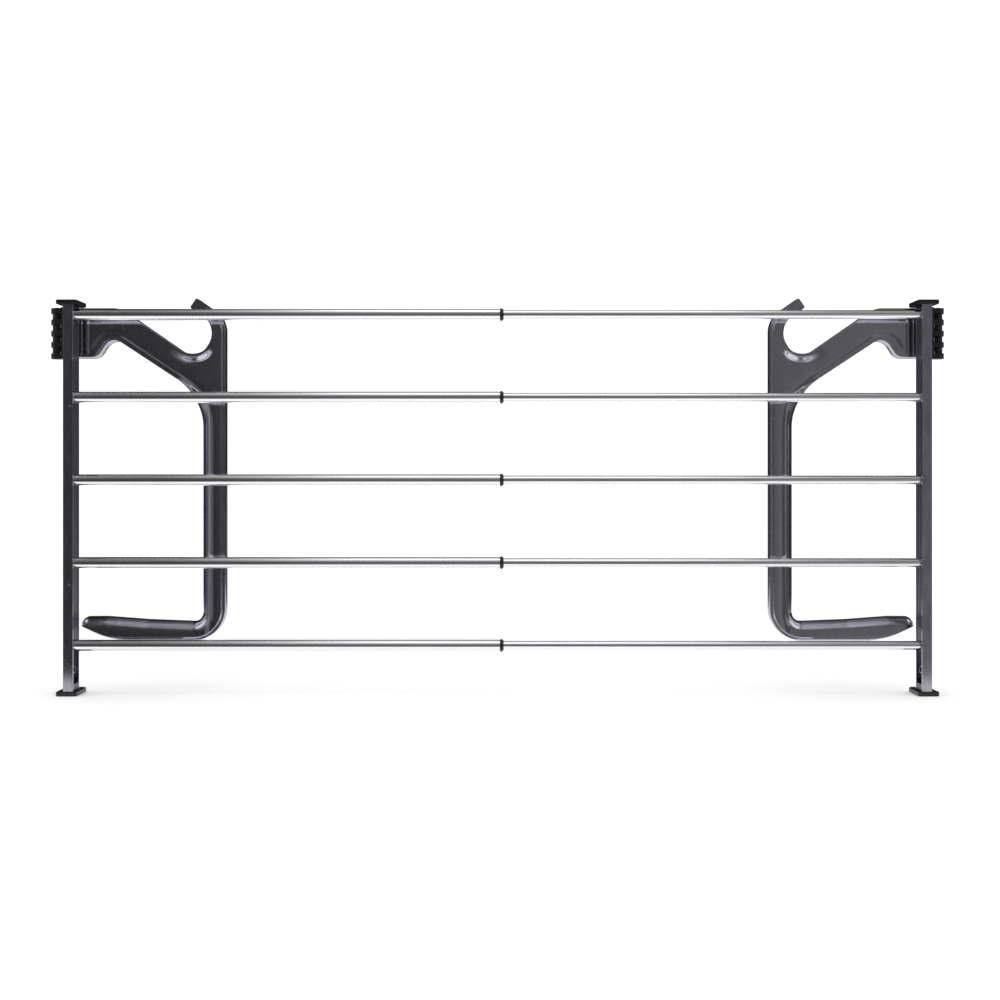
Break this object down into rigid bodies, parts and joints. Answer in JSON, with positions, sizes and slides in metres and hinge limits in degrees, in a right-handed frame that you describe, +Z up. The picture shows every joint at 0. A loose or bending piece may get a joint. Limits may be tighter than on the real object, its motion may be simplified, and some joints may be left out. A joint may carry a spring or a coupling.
{
  "type": "telescopic clothes airer",
  "caption": "Telescopic clothes rack with steel tubes that slide into thicker ones between dark side rails, and a hinged hook arm folded flat behind each rail.",
  "frame": {"origin": "on the surface the airer stands on, under the middle of its bounding box", "axes": "+X along the tubes toward the thinner ones, +Y toward the back where the arms are, +Z up"},
  "size_m": [1.2618, 0.0608, 0.562],
  "materials": {
    "tube_steel": "polished stainless steel",
    "rail_coat": "anthracite satin powder coat",
    "black_plastic": "fine-textured moulded plastic",
    "strip_plastic": "satin moulded plastic",
    "arm_plastic": "glossy graphite moulded plastic",
    "screw_steel": "zinc-plated steel"
  },
  "bodies": {
    "left_frame": {"left_side_rail": "rail_coat", "left_slot_plug": "black_plastic", "left_socket_strip": "strip_plastic", "left_bottom_cap": "black_plastic", "left_top_cap": "black_plastic", "left_drive_pin_1": "screw_steel", "left_drive_pin_2": "screw_steel", "left_rail_leaf": "black_plastic", "left_rail_screw_1": "screw_steel", "left_rail_screw_2": "screw_steel", "left_rail_screw_3": "screw_steel", "left_hinge_pin": "screw_steel", "outer_tube_1": "tube_steel", "outer_tube_2": "tube_steel", "outer_tube_3": "tube_steel", "outer_tube_4": "tube_steel", "outer_tube_5": "tube_steel", "tube_collar_1": "strip_plastic", "tube_collar_2": "strip_plastic", "tube_collar_3": "strip_plastic", "tube_collar_4": "strip_plastic", "tube_collar_5": "strip_plastic"},
    "right_frame": {"right_side_rail": "rail_coat", "right_slot_plug": "black_plastic", "right_socket_strip": "strip_plastic", "right_bottom_cap": "black_plastic", "right_top_cap": "black_plastic", "right_drive_pin_1": "screw_steel", "right_drive_pin_2": "screw_steel", "right_rail_leaf": "black_plastic", "right_rail_screw_1": "screw_steel", "right_rail_screw_2": "screw_steel", "right_rail_screw_3": "screw_steel", "right_hinge_pin": "screw_steel", "inner_tube_1": "tube_steel", "inner_tube_2": "tube_steel", "inner_tube_3": "tube_steel", "inner_tube_4": "tube_steel", "inner_tube_5": "tube_steel", "guide_bush_1": "strip_plastic", "guide_bush_2": "strip_plastic", "guide_bush_3": "strip_plastic", "guide_bush_4": "strip_plastic", "guide_bush_5": "strip_plastic"},
    "left_arm_body": {"left_arm_leaf": "black_plastic", "left_arm": "arm_plastic", "left_arm_back": "arm_plastic", "left_arm_screw_1": "screw_steel", "left_arm_screw_2": "screw_steel", "left_arm_screw_3": "screw_steel", "left_arm_screw_4": "screw_steel"},
    "right_arm_body": {"right_arm_leaf": "black_plastic", "right_arm": "arm_plastic", "right_arm_back": "arm_plastic", "right_arm_screw_1": "screw_steel", "right_arm_screw_2": "screw_steel", "right_arm_screw_3": "screw_steel", "right_arm_screw_4": "screw_steel"}
  },
  "joints": [
    {"name": "telescope", "type": "slide", "parent": "left_frame", "child": "right_frame", "axis": [1, 0, 0], "range_m": [-0.5, 0]},
    {"name": "left_arm_swing", "type": "hinge", "parent": "left_frame", "child": "left_arm_body", "pos_m": [-0.6225, -0.01045, 0.51], "axis": [0, 0, 1], "range_deg": [0, 90]},
    {"name": "right_arm_swing", "type": "hinge", "parent": "right_frame", "child": "right_arm_body", "pos_m": [0.6225, -0.01045, 0.51], "axis": [0, 0, -1], "range_deg": [0, 90]}
  ]
}
